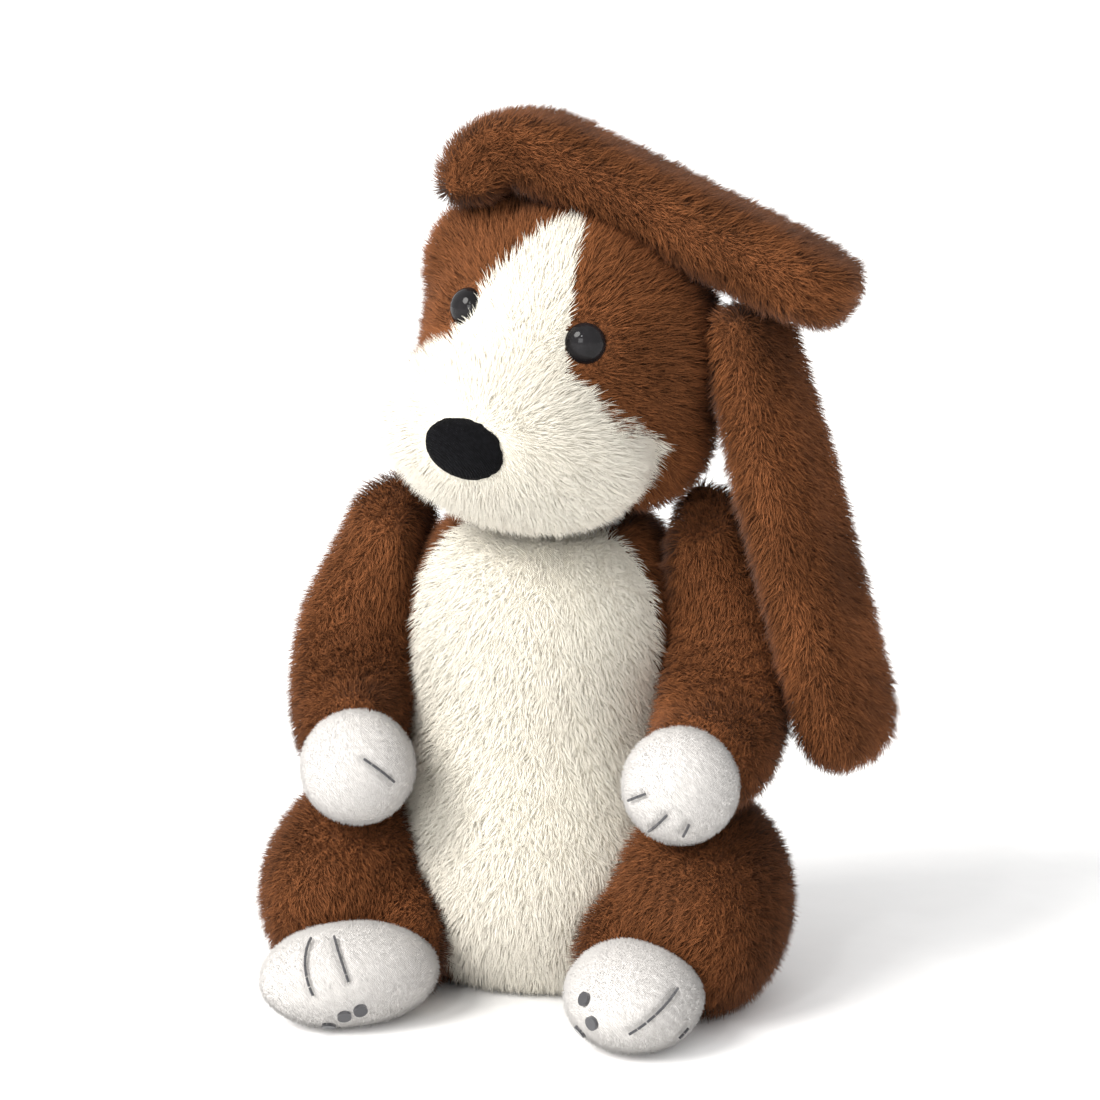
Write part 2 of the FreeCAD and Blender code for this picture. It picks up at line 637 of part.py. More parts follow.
def arm_volume(name, sign, grow, cap):
    """The bent arm, lofted through its rings from the shoulder to the wrist; cap shortens its ends."""
    short = math.degrees(cap / size("arm_bend"))
    shorten = {"root": short, "wrist": -short}
    # The share of the paws' sideways shift that each ring takes.
    aside = {"fore": 0.5, "wrist": 1.0}
    # Each ring starts on the arm's inner side, which the flat seam takes away.
    start = Rotation(Z, 90 + 90 * sign)
    rings = []
    for ring, angle in ARM_RINGS:
        circle = doc.addObject("Part::Circle", "%s_%s" % (name, ring))
        bend = Rotation(X, -angle - shorten.get(ring, 0))
        across = sign * size("arm_%s_out" % ring) + aside.get(ring, 0) * size("paws_aside")
        centre = Vector(across, size("arm_bend_y"), size("arm_bend_z"))
        circle.Placement = Placement(centre + bend.multVec(Y * size("arm_bend")), bend * start)
        bind(circle, Radius="Sizes.arm_%s + %s" % (ring, grow))
        rings.append(circle)
    loft = doc.addObject("Part::Loft", name)
    loft.Sections = rings
    loft.Solid = True
    return loft


def make_arm(side, sign):
    """An arm bent at the elbow, with its sleeve, stuffing and paw."""
    volumes = {}
    wall = size("wall")
    for kind, grow, start, cap in (("outer", "0", "0", 0), ("inner", WALL, "Sizes.wall", wall),
                                   ("fill", FILL, "Sizes.wall + Sizes.skin", wall + size("skin"))):
        name = "%s_arm_%s" % (side, kind)
        full = arm_volume(name + "_full", sign, grow, cap)
        volumes[kind] = common(name, full, beside(name + "_side", sign, "Sizes.arm_seam_x + %s" % start))
    centre = Vector(sign * size("paw_x") + size("paws_aside"), size("paw_y"), size("paw_z"))
    paw = {kind: ball("%s_paw_%s" % (side, kind), "Sizes.paw_radius + %s" % grow, Placement(centre, Rotation()))
           for kind, grow in (("outer", "0"), ("inner", WALL), ("fill", FILL))}
    sleeve = cut(side + "_arm_wall", volumes["outer"], volumes["inner"])
    piece(cut(side + "_arm_cut", sleeve, paw["outer"]), side + "_arm_sleeve")
    piece(cut(side + "_arm_fill_cut", volumes["fill"], paw["outer"]), side + "_arm_stuffing")
    piece(cut(side + "_paw_wall", paw["outer"], paw["inner"]), side + "_paw_shell")
    piece(paw["fill"], side + "_paw_stuffing")
    radii = Vector(1, 1, 1) * size("paw_radius")
    thread_stitches(side + "_paw_stitches", "Sizes.stitch",
                    [stitched_line(centre, radii, Rotation(), *line) for line in PAW_LINES[side]])


def make_leg(side, sign):
    """A leg sewn to the hips, with a foot of two panels, toe pads and toe stitches."""
    leg_turn = Rotation(Z, sign * size("leg_turn"))
    foot_turn = Rotation(Z, sign * size(side + "_foot_turn"))
    keep_off = doc.addObject("Part::Cylinder", side + "_leg_keep_off")
    bind(keep_off, Radius="Sizes.ring_hips + 2 * Sizes.part_gap", Height="Sizes.reach",
         Placement__Base__y="Sizes.body_y", Placement__Base__z="-Sizes.wall")
    parts_of = {}
    for kind, grow, floor in (("outer", "0", "0"), ("inner", WALL, "Sizes.wall"),
                              ("fill", FILL, "Sizes.wall + Sizes.skin")):
        ground = above("%s_ground_%s" % (side, kind), floor)
        for stem, turn in (("leg", leg_turn), ("foot", foot_turn)):
            name = "%s_%s_%s" % (side, stem, kind)
            solid = ellipsoid(name + "_full", stem, grow, sign, turn)
            if stem == "leg":
                calf_place = Placement(Vector(sign * size("calf_x"), size("calf_y"), size("calf_z")), Rotation())
                calf = ball(name + "_calf", "Sizes.calf_radius + %s" % grow, calf_place)
                solid = fuse(name + "_whole", solid, calf)
            parts_of[stem, kind] = common(name, solid, ground)
    leg = cut(side + "_leg_whole", parts_of["leg", "outer"], keep_off)
    piece(cut(side + "_leg_wall", leg, parts_of["leg", "inner"]), side + "_leg_sleeve")
    piece(cut(side + "_leg_fill_cut", parts_of["leg", "fill"], keep_off), side + "_leg_stuffing")
    foot = cut(side + "_foot_whole", parts_of["foot", "outer"], parts_of["leg", "outer"])
    wall = cut(side + "_foot_wall", foot, parts_of["foot", "inner"])
    sole_block = above(side + "_sole_block", "Sizes.sole_z")
    piece(common(side + "_foot_top", wall, sole_block), side + "_foot_upper")
    piece(cut(side + "_foot_bottom", wall, sole_block), side + "_foot_sole")
    piece(cut(side + "_foot_fill_cut", parts_of["foot", "fill"], parts_of["leg", "outer"]),
          side + "_foot_stuffing")
    centre = Vector(sign * size("foot_x"), size("foot_y"), size("foot_z"))
    radii = Vector(size("foot_wide"), size("foot_deep"), size("foot_tall")) / 2
    pads = []
    for number, direction in enumerate(TOE_PADS[side]):
        place, normal = on_ellipsoid(centre, radii, foot_turn, direction, 0)
        pad = doc.addObject("Part::Cylinder", "%s_toe_pad_%d" % (side, number))
        bind(pad, Radius="Sizes.toe_pad_radius", Height="2 * Sizes.toe_pad_thick")
        pad.Placement = Placement(place - normal * size("toe_pad_thick"), Rotation(Z, normal))
        pads.append(cut("%s_toe_pad_cut_%d" % (side, number), pad, parts_of["foot", "outer"]))
    group = doc.addObject("Part::Compound", side + "_toe_pads_group")
    group.Links = pads
    piece(group, side + "_toe_pads")
    thread_stitches(side + "_foot_stitches", "Sizes.stitch",
                    [stitched_line(centre, radii, foot_turn, *line) for line in FOOT_LINES[side]])


def make_tail():
    """A short stuffed tail behind the seat."""
    turn = Rotation(X, size("tail_lift"))
    outer = ellipsoid("tail_outer", "tail", "0", 1, turn)
    piece(cut("tail_wall", outer, ellipsoid("tail_inner", "tail", WALL, 1, turn)), "tail_sleeve")
    piece(ellipsoid("tail_fill", "tail", FILL, 1, turn), "tail_stuffing")


def check_and_write():
    """Stop on any failed object or shape, then write one file for each sub-part."""
    doc.recompute()
    bad = [o.Name for o in doc.Objects if "Invalid" in o.State or "Error" in o.State]
    for part in parts:
        if part.Shape.isNull() or not part.Shape.isValid() or part.Shape.Volume <= 0:
            bad.append(part.Label)
    if bad:
        raise RuntimeError("failed objects: " + ", ".join(bad))
    os.makedirs("parts", exist_ok=True)
    for part in parts:
        part.Shape.exportStep("parts/%s.step" % part.Label)
        print("%-24s %2d solid(s) %10.1f mm3" % (part.Label, len(part.Shape.Solids), part.Shape.Volume))


torso_neck_hole, head_neck_hole = make_neck()
make_torso(torso_neck_hole)
make_back_seam()
make_head(head_neck_hole)
make_left_ear()
make_right_ear()
for side, sign in SIDES:
    make_arm(side, sign)
    make_leg(side, sign)
make_tail()
check_and_write()
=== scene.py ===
import json
import math

import bmesh
import bpy
import numpy as np
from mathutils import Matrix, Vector
from mathutils.bvhtree import BVHTree


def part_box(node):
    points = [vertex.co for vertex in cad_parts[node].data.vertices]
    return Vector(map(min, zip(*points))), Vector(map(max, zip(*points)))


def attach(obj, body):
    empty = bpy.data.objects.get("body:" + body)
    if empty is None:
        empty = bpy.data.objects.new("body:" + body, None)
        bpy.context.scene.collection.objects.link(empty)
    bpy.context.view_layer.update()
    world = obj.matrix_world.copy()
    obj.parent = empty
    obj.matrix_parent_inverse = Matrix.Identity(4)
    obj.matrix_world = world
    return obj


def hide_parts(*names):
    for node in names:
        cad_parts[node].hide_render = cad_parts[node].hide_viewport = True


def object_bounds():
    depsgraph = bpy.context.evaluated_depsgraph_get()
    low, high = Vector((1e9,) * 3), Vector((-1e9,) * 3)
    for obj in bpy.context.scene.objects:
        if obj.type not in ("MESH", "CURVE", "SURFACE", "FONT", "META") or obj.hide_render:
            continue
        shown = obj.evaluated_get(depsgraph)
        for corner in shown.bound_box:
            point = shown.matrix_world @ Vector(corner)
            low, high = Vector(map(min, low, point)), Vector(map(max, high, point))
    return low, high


# A seated plush dog: stuffed skins, long pile, short nap, a padded nose, dome eyes and stitches.
# Every length is in metres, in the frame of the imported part.

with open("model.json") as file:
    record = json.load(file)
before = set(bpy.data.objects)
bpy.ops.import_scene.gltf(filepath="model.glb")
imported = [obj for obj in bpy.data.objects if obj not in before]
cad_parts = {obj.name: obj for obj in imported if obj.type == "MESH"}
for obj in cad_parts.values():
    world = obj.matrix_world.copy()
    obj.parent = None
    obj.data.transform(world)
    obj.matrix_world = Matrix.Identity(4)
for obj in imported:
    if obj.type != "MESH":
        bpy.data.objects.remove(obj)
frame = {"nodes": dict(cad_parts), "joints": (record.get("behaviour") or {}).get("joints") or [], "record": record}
frame_low, frame_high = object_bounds()
scene = bpy.context.scene
record = frame["record"]
SLOT_OF = {part["node"]: part["material_slot"] for part in record["subparts"]}
JOINT_AT = {j["name"]: np.array(j["pos_m"]) for j in frame["joints"]}
SIDES = ("left", "right")

MM = 0.001
DOWN = np.array((0.0, 0.0, -1.0))
TINY = 1e-9                   # keeps a division away from 0
FAR = 100 * MM                # further than any skin lies from the nearest panel
SEED = 7                      # of every random draw in the pile

FLOOR_GAP = 0.3 * MM          # how far the lowest cloth stays above the floor
CLOTH_FRAMES = 20             # how long the cloth swells
CLOTH_PRESSURE = 4.0          # how hard its filling presses
GROOVE_WIDTH = 3.0 * MM       # how far round a stitch the cloth is drawn in
GROOVE_DEPTH = 1.1 * MM       # how deep, under the stitch
SWELL = 2 * MM                # how far the cloth of a large form may swell
SMALL_SWELL = 1.2 * MM        # the same for a paw or a foot
NOSE_SWELL = 0.6 * MM         # the same for the nose

REACH = 7 * MM                # how near a neighbour has to be to shorten the pile
TOUCHING = 0.35               # length of the pile where it touches a neighbour, as a share
LEAST_ROOM = 0.15             # a strand with less room than this is left out
EYE_ROOM = 4 * MM             # how far the pile grows shorter round an eye
STITCH_ROOM = 1.2 * MM        # the same round a line of stitches
PAD_ROOM = 1.0 * MM           # the same round a toe pad
FACING_FLOOR = -0.9           # a normal with a lower Z than this faces the floor

SUNK = 0.5 * MM               # how deep a strand starts below the cloth
LOW_LAY, LOW_TUFT, LOW_STRAY = 0.45, 0.3, 0.10      # how a strand's lower half leans
HIGH_RISE, HIGH_STRAY = 0.75, 0.16                  # how its upper half rises and strays
MIDDLE_WIDTH = 0.8            # width half way up, as a share of the root's
LENGTHS = (0.7, 1.15)         # shortest and longest strand, as shares of the finish's length
SELF_SHADE = 0.02             # how much of a strand's own roundness shows in its shading
PATCH_SIZE = 6                # size of a lighter or darker patch, in tufts
PATCH_MIX, STRAND_MIX = 0.45, 0.8                   # how patch and strand weigh in its tone
TONE_STEPS = (-0.55, 0.65)    # where the tone changes

# Pile of each finish: strand length and root width, strands per square millimetre, how far it
# lies over, how strongly its tips gather in tufts of the given size, and its sheen.
PILE = {
    "brown_plush": dict(length=7.0 * MM, width=0.27 * MM, dense=2.0, lay=0.80, tuft=0.34,
                        size=6 * MM, sheen=0.05),
    "cream_plush": dict(length=7.0 * MM, width=0.29 * MM, dense=2.1, lay=0.75, tuft=0.30,
                        size=8 * MM, sheen=0.15),
    "white_plush": dict(length=1.9 * MM, width=0.22 * MM, dense=3.0, lay=0.45, tuft=0.35,
                        size=4 * MM, sheen=0.10),
    "black_velour": dict(length=0.9 * MM, width=0.20 * MM, dense=5.0, lay=0.30, tuft=0.30,
                         size=3 * MM, sheen=0.01),
}
# Dye of each finish against the record's colour, and its tones as shares of that, from the painted shade of the
# roots to the painted light of the tips.
DYE = {
    "brown_plush": (0.86, 0.62, 0.43),
    "cream_plush": (1.11, 1.10, 1.06),
    "white_plush": (0.82, 0.81, 0.81),
    "black_velour": (0.30, 0.30, 0.30),
}
LIT_AND_SHADED_TONES = {
    "brown_plush": (0.22, 0.50, 0.76, 1.12),
    "cream_plush": (0.94, 1.00, 1.03, 1.05),
    "white_plush": (0.94, 0.98, 1.00, 1.03),
    # The velour's two lightest tones are painted velvet highlights, scattered over its strands.
    "black_velour": (0.40, 0.80, 1.50, 2.50),
}
UNDYED = (1, 1, 1)
COLOUR = {m["slot"]: np.array(m["base_color"]) * np.array(DYE.get(m["slot"], UNDYED))
          for m in record["materials"]}


# ---------------------------------------------------------------- small helpers

def unit(vectors, axis=1):
    """The same directions at length 1."""
    return vectors / np.maximum(np.linalg.norm(vectors, axis=axis, keepdims=True), TINY)


def across(vectors, normals):
    """The part of each vector that lies in the surface, at length 1."""
    along = np.sum(vectors * normals, axis=1, keepdims=True)
    return unit(vectors - along * normals)


def points_of(mesh):
    """The mesh's vertices as an array."""
    found = np.empty(len(mesh.vertices) * 3, np.float32)
    mesh.vertices.foreach_get("co", found)
    return found.reshape(-1, 3).astype(float)


def set_points(mesh, points):
    """Moves the mesh's vertices."""
    mesh.vertices.foreach_set("co", points.astype(np.float32).ravel())
    mesh.update()


def normals_of(mesh):
    """The mesh's vertex normals as an array."""
    found = np.empty(len(mesh.vertices) * 3, np.float32)
    mesh.vertex_normals.foreach_get("vector", found)
    return found.reshape(-1, 3).astype(float)


def node_mesh(node):
    """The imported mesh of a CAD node."""
    return frame["nodes"][node].data


def node_centre(node):
    """The middle of a CAD node's box."""
    low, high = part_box(node)
    return np.array((low + high) / 2)


def node_tree(node):
    """A search tree over a CAD node's surface."""
    return BVHTree.FromObject(frame["nodes"][node], bpy.context.evaluated_depsgraph_get())


def mesh_tree(mesh):
    """A search tree over a mesh's surface."""
    faces = [tuple(face.vertices) for face in mesh.polygons]
    return BVHTree.FromPolygons([v.co for v in mesh.vertices], faces)


def distances(tree, points, limit):
    """Distance from each point to the tree's surface, below 0 inside it, at most limit."""
    found = np.full(len(points), limit)
    for index, point in enumerate(points):
        place, normal, _, distance = tree.find_nearest(point, limit)
        if place is not None:
            inside = (Vector(point) - place).dot(normal) < 0
            found[index] = -distance if inside else distance
    return found


def waves(points, size, rng, count=14):
    """A smooth random value and its slope at each point, with bumps of about the given size."""
    direction = unit(rng.normal(size=(count, 3)))
    number = direction * (2 * math.pi / size) * rng.uniform(0.6, 1.5, (count, 1))
    phase = points @ number.T + rng.uniform(0, 2 * math.pi, count)
    share = math.sqrt(2 / count)
    return np.sin(phase).sum(axis=1) * share, np.cos(phase) @ direction * share


# ---------------------------------------------------------------- materials

def new_material(name):
    """A material with its node tree and its Principled shader."""
    material = bpy.data.materials.new(name)
    material.use_nodes = True
    return material, material.node_tree, material.node_tree.nodes["Principled BSDF"]


def constants(shader, **values):
    """Sets plain values on the shader's own sockets."""
    for name, value in values.items():
        shader.inputs[name.replace("_", " ")].default_value = value


def rgba(colour, share=1.0):
    """A colour times a share, held within range."""
    return (*np.clip(np.array(colour) * share, 0, 1), 1.0)


def noise(tree, scale, detail=4.0, stretch=(1, 1, 1)):
    """Noise in object space; scale is in bumps per metre."""
    place = tree.nodes.new("ShaderNodeTexCoord")
    mapping = tree.nodes.new("ShaderNodeMapping")
    texture = tree.nodes.new("ShaderNodeTexNoise")
    mapping.inputs["Scale"].default_value = stretch
    texture.inputs["Scale"].default_value = scale
    texture.inputs["Detail"].default_value = detail
    tree.links.new(place.outputs["Object"], mapping.inputs["Vector"])
    tree.links.new(mapping.outputs["Vector"], texture.inputs["Vector"])
    return texture.outputs["Fac"]


def bands(tree, scale, distortion, direction="DIAGONAL"):
    """Wavy bands in object space, for yarn and weave."""
    place = tree.nodes.new("ShaderNodeTexCoord")
    texture = tree.nodes.new("ShaderNodeTexWave")
    texture.bands_direction = direction
    texture.inputs["Scale"].default_value = scale
    texture.inputs["Distortion"].default_value = distortion
    texture.inputs["Detail"].default_value = 3.0
    tree.links.new(place.outputs["Object"], texture.inputs["Vector"])
    return texture.outputs["Fac"]


def ramp(tree, factor, *stops):
    """A colour ramp over a factor; each stop is (position, colour)."""
    node = tree.nodes.new("ShaderNodeValToRGB")
    elements = node.color_ramp.elements
    elements[0].position, elements[0].color = stops[0]
    elements[1].position, elements[1].color = stops[-1]
    for position, colour in stops[1:-1]:
        elements.new(position).color = colour
    tree.links.new(factor, node.inputs["Fac"])
    return node.outputs["Color"]


def spread(tree, factor, low, high):
    """Maps a factor from 0..1 to low..high."""
    node = tree.nodes.new("ShaderNodeMapRange")
    node.inputs["To Min"].default_value = low
    node.inputs["To Max"].default_value = high
    tree.links.new(factor, node.inputs["Value"])
    return node.outputs["Result"]


def bump(tree, shader, height, depth, strength=1.0):
    """Raises the shader's surface by a height field."""
    node = tree.nodes.new("ShaderNodeBump")
    node.inputs["Strength"].default_value = strength
    node.inputs["Distance"].default_value = depth
    tree.links.new(height, node.inputs["Height"])
    tree.links.new(node.outputs["Normal"], shader.inputs["Normal"])


def backing_cloth(slot):
    """The knitted backing under a pile, with its loops and uneven dye, mottled between its pile's painted-shade
    root tone and its lightest, painted-light tip tone.
    """
    material, tree, shader = new_material(slot + "_backing")
    colour = COLOUR[slot]
    # low is the pile's painted-shade root tone and high its lightest, painted-light tip tone; noise spreads them
    # at random.
    low, _, _, high = LIT_AND_SHADED_TONES[slot]
    fine = noise(tree, 900, detail=6)
    tree.links.new(
        ramp(tree, fine, (0.35, rgba(colour, low)), (0.7, rgba(colour, min(high, 1.1)))),
        shader.inputs["Base Color"],
    )
    tree.links.new(spread(tree, noise(tree, 300), 0.75, 0.98), shader.inputs["Roughness"])
    bump(tree, shader, bands(tree, 700, 4.0), 0.3 * MM, 0.7)
    constants(shader, Sheen_Weight=PILE[slot]["sheen"], Sheen_Roughness=0.5)
    constants(shader, Specular_IOR_Level=0.06)
    return material


def pile_lit_and_shaded_tones(slot):
    """Four plain tones of one pile, from the painted shade of its roots to the painted light of its tips."""
    made = []
    for number, share in enumerate(LIT_AND_SHADED_TONES[slot]):
        material, _, shader = new_material(f"{slot}_tone_{number}")
        constants(shader, Base_Color=rgba(COLOUR[slot], share), Roughness=0.62)
        constants(shader, Sheen_Weight=PILE[slot]["sheen"], Sheen_Roughness=0.4)
        constants(shader, Specular_IOR_Level=0.06)
        made.append(material)
    return made


def dome_plastic():
    """Polished black plastic with fine handling marks."""
    material, tree, shader = new_material("dome_plastic")
    tone = ramp(tree, noise(tree, 160), (0.3, rgba(COLOUR["eye_plastic"], 0.7)),
                (0.8, rgba(COLOUR["eye_plastic"], 1.6)))
    tree.links.new(tone, shader.inputs["Base Color"])
    tree.links.new(spread(tree, noise(tree, 2500, 8), 0.03, 0.12), shader.inputs["Roughness"])
    bump(tree, shader, noise(tree, 4000, 8), 0.004 * MM, 0.3)
    constants(shader, Specular_IOR_Level=0.18)
    return material


def moulded_plastic():
    """Unpolished pale plastic with a fine mould grain."""
    material, tree, shader = new_material("moulded_plastic")
    colour = COLOUR["washer_plastic"]
    tone = ramp(tree, noise(tree, 400), (0.3, rgba(colour, 0.9)), (0.7, rgba(colour)))
    tree.links.new(tone, shader.inputs["Base Color"])
    tree.links.new(spread(tree, noise(tree, 1200), 0.4, 0.6), shader.inputs["Roughness"])
    bump(tree, shader, noise(tree, 3000), 0.02 * MM, 0.4)
    return material


def satin_thread(slot):
    """Close satin stitches: bands of glossy thread, lighter along each thread, with painted shade in the dark gaps
    between them.
    """
    material, tree, shader = new_material(slot + "_satin")
    colour = COLOUR[slot]
    strands = bands(tree, 1500, 1.5)
    # The dark end of this ramp is painted shade in the gaps between the threads.
    tone = ramp(tree, strands, (0.2, rgba(colour, 0.5)), (0.8, rgba(colour, 1.8)))
    tree.links.new(tone, shader.inputs["Base Color"])
    tree.links.new(spread(tree, strands, 0.65, 0.4), shader.inputs["Roughness"])
    bump(tree, shader, strands, 0.08 * MM, 0.8)
    constants(shader, Sheen_Weight=0.4)
    return material


def loose_fibre():
    """White polyester filling, tangled and soft."""
    material, tree, shader = new_material("loose_fibre")
    tangle = noise(tree, 500, detail=9, stretch=(1, 1, 3))
    colour = COLOUR["fiberfill"]
    tone = ramp(tree, tangle, (0.3, rgba(colour, 0.8)), (0.7, rgba(colour)))
    tree.links.new(tone, shader.inputs["Base Color"])
    tree.links.new(spread(tree, tangle, 0.8, 1.0), shader.inputs["Roughness"])
    bump(tree, shader, tangle, 1 * MM, 0.8)
    return material


def studio_paper():
    """Matt white paper with faint fibre."""
    material, tree, shader = new_material("studio_paper")
    fibre = noise(tree, 60, detail=6)
    tree.links.new(ramp(tree, fibre, (0.3, (0.965, 0.965, 0.965, 1)), (0.7, (0.985, 0.985, 0.985, 1))),
                   shader.inputs["Base Color"])
    tree.links.new(spread(tree, fibre, 0.85, 0.95), shader.inputs["Roughness"])
    constants(shader, Specular_IOR_Level=0.1)
    return material


BACKING = {slot: backing_cloth(slot) for slot in PILE}
PILE_LIT_AND_SHADED_TONES = {slot: pile_lit_and_shaded_tones(slot) for slot in PILE}


# ---------------------------------------------------------------- sewn and stuffed forms

def joined(name, nodes):
    """A new object that holds the meshes of several CAD nodes."""
    build = bmesh.new()
    for node in nodes:
        build.from_mesh(node_mesh(node))
    mesh = bpy.data.meshes.new(name)
    build.to_mesh(mesh)
    build.free()
    made = bpy.data.objects.new(name, mesh)
    scene.collection.objects.link(made)
    return made


def apply_modifiers(made):
    """Turns the object's modifiers into its mesh."""
    depsgraph = bpy.context.evaluated_depsgraph_get()
    mesh = bpy.data.meshes.new_from_object(made.evaluated_get(depsgraph))
    made.modifiers.clear()
    made.data = mesh


def keep_largest(mesh):
    """Removes the bubbles that lie between wall and filling."""
    build = bmesh.new()
    build.from_mesh(mesh)
    left = set(build.verts)
    islands = []
    while left:
        todo = [left.pop()]
        island = set(todo)
        while todo:
            for edge in todo.pop().link_edges:
                for vert in edge.verts:
                    if vert not in island:
                        island.add(vert)
                        todo.append(vert)
        left -= island
        islands.append(island)
    largest = max(islands, key=len)
    bmesh.ops.delete(build, geom=[v for v in build.verts if v not in largest], context="VERTS")
    build.to_mesh(mesh)
    build.free()


def remesh(made, voxel, rounds):
    """One closed even skin over everything in the object, smoothed."""
    shell = made.modifiers.new("shell", "REMESH")
    shell.mode = "VOXEL"
    shell.voxel_size = voxel
    apply_modifiers(made)
    keep_largest(made.data)
    smooth = made.modifiers.new("smooth", "SMOOTH")
    smooth.factor = 0.5
    smooth.iterations = rounds
    apply_modifiers(made)


def stuff(made, swell):
    """Blows the skin up as stuffed cloth, with no point moving further than swell."""
    before = points_of(made.data)
    cloth = made.modifiers.new("cloth", "CLOTH")
    cloth.settings.quality = 4
    cloth.settings.use_pressure = True
    cloth.settings.uniform_pressure_force = CLOTH_PRESSURE
    cloth.settings.effector_weights.gravity = 0.0
    cloth.point_cache.frame_end = CLOTH_FRAMES
    for step in range(1, CLOTH_FRAMES + 1):
        scene.frame_set(step)
    apply_modifiers(made)
    scene.frame_set(1)
    moved = points_of(made.data) - before
    size = np.linalg.norm(moved, axis=1, keepdims=True)
    set_points(made.data, before + moved * np.minimum(1.0, swell / np.maximum(size, TINY)))


def subdivide(made):
    """One level of smooth subdivision."""
    level = made.modifiers.new("subdivision", "SUBSURF")
    level.levels = 1
    level.render_levels = 1
    apply_modifiers(made)


def pull_in(mesh, trees):
    """Draws the cloth inward along stitches, in a soft groove."""
    points, normals = points_of(mesh), normals_of(mesh)
    for tree in trees:
        near = np.abs(distances(tree, points, GROOVE_WIDTH))
        points -= normals * (GROOVE_DEPTH * (1 - near / GROOVE_WIDTH) ** 2)[:, None]
    set_points(mesh, points)


def panel_of_faces(mesh, panels):
    """The index of the CAD panel nearest to each face."""
    centres = np.empty(len(mesh.polygons) * 3, np.float32)
    mesh.polygons.foreach_get("center", centres)
    centres = centres.reshape(-1, 3).astype(float)
    if len(panels) == 1:
        return np.zeros(len(centres), int)
    near = [np.abs(distances(node_tree(panel), centres, FAR)) for panel in panels]
    return np.argmin(near, axis=0)


def sew(name, body, panels, inside=(), stitches=(), voxel=4 * MM, swell=SWELL):
    """A stuffed form over its panels: one closed skin, and the panel that each face belongs to."""
    made = joined(name, [*panels, *inside])
    remesh(made, voxel, rounds=4)
    stuff(made, swell)
    subdivide(made)
    if stitches:
        pull_in(made.data, [node_tree(node) for node in stitches])
    points = points_of(made.data)
    points[:, 2] = np.maximum(points[:, 2], FLOOR_GAP)
    set_points(made.data, points)
    owner = panel_of_faces(made.data, panels)
    form = dict(name=name, body=body, panels=panels, inside=inside, made=made, owner=owner,
                tree=mesh_tree(made.data))
    form["low"], form["high"] = points.min(axis=0), points.max(axis=0)
    return form


def cut_panel(form, index):
    """The part of a form's skin that one panel makes, as its own cloth piece."""
    mesh = form["made"].data
    panel = form["panels"][index]
    faces = [tuple(f.vertices) for f, o in zip(mesh.polygons, form["owner"]) if o == index]
    used = sorted({v for face in faces for v in face})
    place = {v: n for n, v in enumerate(used)}
    cloth = bpy.data.meshes.new(panel + "_cloth")
    cloth.from_pydata([mesh.vertices[v].co for v in used], [],
                      [[place[v] for v in face] for face in faces])
    cloth.shade_smooth()
    cloth.materials.append(BACKING[SLOT_OF[panel]])
    piece = bpy.data.objects.new(panel + "_cloth", cloth)
    scene.collection.objects.link(piece)
    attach(piece, form["body"])
    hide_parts(panel)
    return piece


# ---------------------------------------------------------------- pile

def scatter(mesh, count, rng):
    """Even random points over a mesh: places, smooth normals and the face of each."""
    mesh.calc_loop_triangles()
    corners = np.empty(len(mesh.loop_triangles) * 3, np.int32)
    faces = np.empty(len(mesh.loop_triangles), np.int32)
    mesh.loop_triangles.foreach_get("vertices", corners)
    mesh.loop_triangles.foreach_get("polygon_index", faces)
    corners = corners.reshape(-1, 3)
    points, normals = points_of(mesh), normals_of(mesh)
    a, b, c = (points[corners[:, k]] for k in range(3))
    areas = np.linalg.norm(np.cross(b - a, c - a), axis=1) / 2
    total = np.cumsum(areas)
    picks = (np.arange(count) + rng.uniform(0, 1, count)) / count * total[-1]
    chosen = np.minimum(np.searchsorted(total, picks), len(faces) - 1)
    u, v = rng.uniform(0, 1, (2, count))
    over = u + v > 1
    u[over], v[over] = 1 - u[over], 1 - v[over]
    share = np.stack((1 - u - v, u, v), axis=1)[:, :, None]
    place = (points[corners[chosen]] * share).sum(axis=1)
    normal = unit((normals[corners[chosen]] * share).sum(axis=1))
    return place, normal, faces[chosen]


def area_of(mesh):
    """The mesh's surface in square millimetres."""
    areas = np.empty(len(mesh.polygons), np.float32)
    mesh.polygons.foreach_get("area", areas)
    return float(areas.sum()) / MM ** 2


